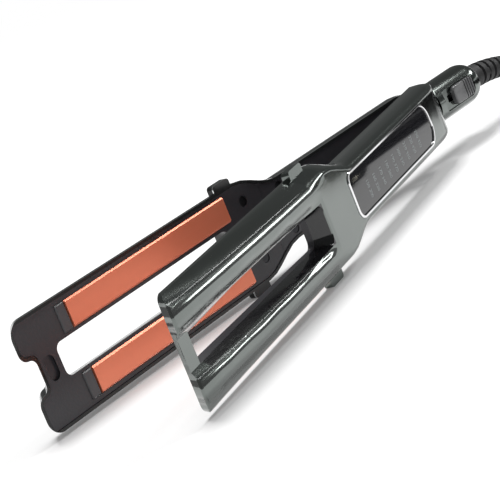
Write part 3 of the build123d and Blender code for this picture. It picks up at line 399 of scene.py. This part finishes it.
# The heat settings are printed faintly under the display's glass, in nine columns of plain numbers. They
# run across the arm, and each column stands a step further back along it.
heat_settings = ("150 300", "160 320", "170 340", "180 360", "190 370", "200 390", "210 410", "220 430",
                 "230 450")
text_size = 0.0036
text_width = 0.67
text_shift = -0.002
first_column = -0.040
column_pitch = 0.0078
glass_height = 0.01042
hinge_height = 0.005
digits = Finish("digit_print", Roughness=0.4)
digits.color((0.19, 0.22, 0.22), (0.25, 0.28, 0.28), digits.noise(900))
arm_turn = Matrix.Translation((hinge_x, hinge_y, arm_middle)) @ Matrix.Rotation(open_angle, 4, "Z")
turned_across = Matrix(((0, -1, 0, 0), (0, 0, 1, 0), (-1, 0, 0, 0), (0, 0, 0, 1)))
number_mesh = bpy.data.meshes.new("display_digits")
numbers = bmesh.new()
for column, figures in enumerate(heat_settings):
    print_line = bpy.data.curves.new(f"column_{column}", "FONT")
    print_line.body = figures
    print_line.size = text_size
    print_line.align_x = "CENTER"
    print_line.align_y = "CENTER"
    writing = bpy.data.objects.new(f"column_{column}", print_line)
    flat = bpy.data.meshes.new_from_object(writing)
    from_hinge = first_column - column * column_pitch + hinge_reach
    column_place = Matrix.Translation((from_hinge, glass_height - hinge_height, text_shift))
    flat.transform(arm_turn @ column_place @ turned_across @ Matrix.Diagonal((text_width, 1, 1, 1)))
    numbers.from_mesh(flat)
    bpy.data.objects.remove(writing)
numbers.to_mesh(number_mesh)
numbers.free()
number_mesh.materials.append(digits.material)
number_piece = bpy.data.objects.new("display_digits", number_mesh)
bpy.context.scene.collection.objects.link(number_piece)
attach(number_piece, "upper_arm")

# The lock's ribbed thumb piece slides in the barrel's window and drives a black bar under the hinge. The
# cord's neck, in the same plain black plastic, turns in the barrel's rear end.
thumb = Finish("thumb_plastic", Coat_Weight=0.4)
rub = thumb.noise(250)
thumb.color((0.110, 0.111, 0.114), (0.140, 0.141, 0.144), rub)
thumb.roughness(0.15, 0.25, rub)
stand_for("lock_slider", "lock_thumb_piece", "lock", "lock_dark", thumb)
plain_black = Finish("plain_black", Roughness=0.5)
plain_black.color((0.020, 0.020, 0.020), (0.028, 0.028, 0.028), plain_black.noise(400))
dress("lock_bar", plain_black)
dress("swivel_neck", plain_black)

# The cord leaves the barrel through a ribbed strain relief that turns with it. It is a rubber-covered
# mains lead, wound into a coil of two layers that a band holds, with a flat two-pin plug.
rubber = Finish("black_rubber", Specular_IOR_Level=0.35)
bloom = rubber.noise(350, 3)
rubber.color((0.016, 0.016, 0.017), (0.028, 0.028, 0.029), bloom)
rubber.roughness(0.48, 0.62, bloom)
stand_for("strain_relief", "strain_relief_sleeve", "cord", "rubber_black", rubber)

cord_diameter = 0.0065
cord_exit = Vector((-0.195986, -0.0353243, 0.015717))
cord_dip = 0.4
coil_height = 0.00425
coil_center = Vector((-0.259986, 0.0124257, 0))
coil_pitch = 0.007
coil_outer = 0.04775
coil_inner = 0.02325
half_turns_in = 8
half_turns_out = 7
turn_points = 16
upper_layer_shift = 0.62
tail_step = 0.019
tail_bend = 0.0015
tail_end_bend = 0.006
plug_axis = 0.00685

landing = (cord_exit.z - coil_height) / tan(cord_dip)
route = [cord_exit, Vector((cord_exit.x - landing, cord_exit.y, coil_height))]
radii = [coil_outer - coil_pitch * number / 2 for number in range(half_turns_in + 1)]
radii += [coil_inner + coil_pitch * (upper_layer_shift + number / 2) for number in range(half_turns_out)]
# The curve runs inside its points, so they stand further out than the turn that it makes.
point_spread = 1 / (0.75 + 0.25 * cos(2 * pi / turn_points))
for number, (before, after) in enumerate(zip(radii, radii[1:])):
    way = -1 if number % 2 == 0 else 1
    layer = 0 if number < half_turns_in - 1 else 1
    middle = coil_center + Vector((0, way * (before - after) / 2, 0))
    point_radius = (before + after) / 2 * point_spread
    for step in range(turn_points // 2):
        share = (step + 0.5) / (turn_points / 2)
        angle = pi * share
        climb = share if number == half_turns_in - 1 else layer
        route.append(Vector((middle.x + way * point_radius * sin(angle),
                             middle.y + way * point_radius * cos(angle), coil_height + coil_pitch * climb)))
tail = Vector((coil_center.x + cord_diameter, coil_center.y + radii[-1], coil_height + coil_pitch))
route += [tail, tail + Vector((tail_step, 0, 0)),
          Vector((tail.x + 2 * tail_step, tail.y - tail_bend, plug_axis)),
          Vector((tail.x + 3 * tail_step, tail.y - tail_end_bend, plug_axis))]

line = bpy.data.curves.new("mains_cord", "CURVE")
line.dimensions = "3D"
spline = line.splines.new("NURBS")
spline.points.add(len(route) - 1)
for point, place in zip(spline.points, route):
    point.co = (*place, 1)
spline.order_u = 3
spline.use_endpoint_u = True
spline.resolution_u = 6
line.bevel_depth = cord_diameter / 2
line.bevel_resolution = 5
line.use_fill_caps = True
cord = bpy.data.objects.new("mains_cord", line)
bpy.context.scene.collection.objects.link(cord)
line.materials.append(rubber.material)
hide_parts("cord_lead", "cord_coil", "cord_tail")
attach(cord, "cord")

band = stand_for("cord_tie", "cord_band", "cord", "rubber_black", rubber)
plug = stand_for("plug_body", "plug_moulding", "cord", "rubber_black", rubber)
brass = Finish("plug_pin_plating", Metallic=1.0)
worn = brass.noise(400)
brass.color((0.66, 0.62, 0.50), (0.74, 0.71, 0.60), worn)
brass.roughness(0.2, 0.32, worn)
pins = stand_for("plug_pins", "plug_contacts", "cord", "plug_brass", brass)

# The pale floor that the straightener lies on keeps its shadow near the object and fades to plain white
# further out, where the camera and reflections see it.
floor_half_width = 12
fade_start = 0.35
fade_end = 1.6
glow_near = 0.12
floor_mesh = bpy.data.meshes.new("floor")
floor_work = bmesh.new()
bmesh.ops.create_grid(floor_work, x_segments=1, y_segments=1, size=floor_half_width)
floor_work.to_mesh(floor_mesh)
floor_work.free()
floor = bpy.data.objects.new("floor", floor_mesh)
bpy.context.scene.collection.objects.link(floor)
paper = Finish("white_paper", Roughness=0.9)
paper.shader.inputs["Base Color"].default_value = (0.86, 0.86, 0.86, 1)
seen = paper.place.node("ShaderNodeLightPath", output="Is Camera Ray")
for ray in ("Is Glossy Ray", "Is Transmission Ray"):
    seen = seen.maths("MAXIMUM", seen, seen.node("ShaderNodeLightPath", output=ray))
distance = paper.place.node("ShaderNodeVectorMath", {"operation": "LENGTH"}, {0: paper.place}, output=1)
far = distance.node("ShaderNodeMapRange", {"interpolation_type": "SMOOTHSTEP"}, {
    "Value": distance, "From Min": fade_start, "From Max": fade_end, "To Min": glow_near, "To Max": 1.0})
glow = seen.node("ShaderNodeEmission", None, {"Color": (1, 1, 1, 1), "Strength": 1.0})
paper_shade = Wire(paper.tree, paper.shader.outputs[0])
blend = seen.node("ShaderNodeMixShader", None, {0: seen * far, 1: paper_shade, 2: glow})
paper.tree.links.new(blend.socket, paper.tree.nodes["Material Output"].inputs["Surface"])
floor_mesh.materials.append(paper.material)

# The studio is white to the camera, mid-grey for the light that falls on the object, and dark in reflections,
# with three soft lamps.
scene = bpy.context.scene
scene.view_settings.view_transform = "Standard"
world = bpy.data.worlds.new("studio")
scene.world = world
world.use_nodes = True
studio = world.node_tree
camera_ray = Wire(studio).node("ShaderNodeLightPath", output="Is Camera Ray")
glossy_ray = Wire(studio).node("ShaderNodeLightPath", output="Is Glossy Ray")
lighting = glossy_ray.node("ShaderNodeMix", {"data_type": "RGBA"}, {
    "Factor": glossy_ray, 6: (0.34, 0.34, 0.34, 1), 7: (0.125, 0.13, 0.128, 1)}, output=2)
shown = camera_ray.node("ShaderNodeMix", {"data_type": "RGBA"}, {
    "Factor": camera_ray, 6: lighting, 7: (1, 1, 1, 1)}, output=2)
background = studio.nodes["Background"]
studio.links.new(shown.socket, background.inputs["Color"])
background.inputs["Strength"].default_value = 1.0


def lamp(name, stand, aim, wide, high, power):
    """A soft lamp that looks at a point."""
    data = bpy.data.lights.new(name, "AREA")
    data.shape = "RECTANGLE"
    data.size = wide
    data.size_y = high
    data.energy = power
    item = bpy.data.objects.new(name, data)
    item.location = stand
    item.rotation_euler = (Vector(aim) - Vector(stand)).to_track_quat("-Z", "Y").to_euler()
    scene.collection.objects.link(item)


lamp("top_lamp", stand=(-0.45, -0.50, 2.7), aim=(0, 0, 0), wide=1.1, high=1.1, power=74)
lamp("edge_softbox", stand=(-1.83, 0.595, 0.69), aim=(0.07, 0.02, 0.03), wide=0.56, high=0.22, power=4.6)
lamp("plate_softbox", stand=(-1.30, 0.42, 1.30), aim=(0, 0, 0.03), wide=0.40, high=0.40, power=10.0)

# The camera stands in front of the tips and to one side, a little above them, and looks back along the arms.
# It has a long lens, so the arms are hardly drawn together.
camera_place = Vector((0.63345, 0.56757, 0.2131))
right = Vector((-0.5897, 0.7201, -0.3656))
up = Vector((-0.4096, 0.1235, 0.9039))
back = right.cross(up)
camera_data = bpy.data.cameras.new("camera")
camera_data.lens = 158.4
camera_data.sensor_width = 36
camera_data.clip_end = 30
camera = bpy.data.objects.new("camera", camera_data)
camera.matrix_world = Matrix.Translation(camera_place) @ Matrix((right, up, back)).transposed().to_4x4()
scene.collection.objects.link(camera)
scene.camera = camera
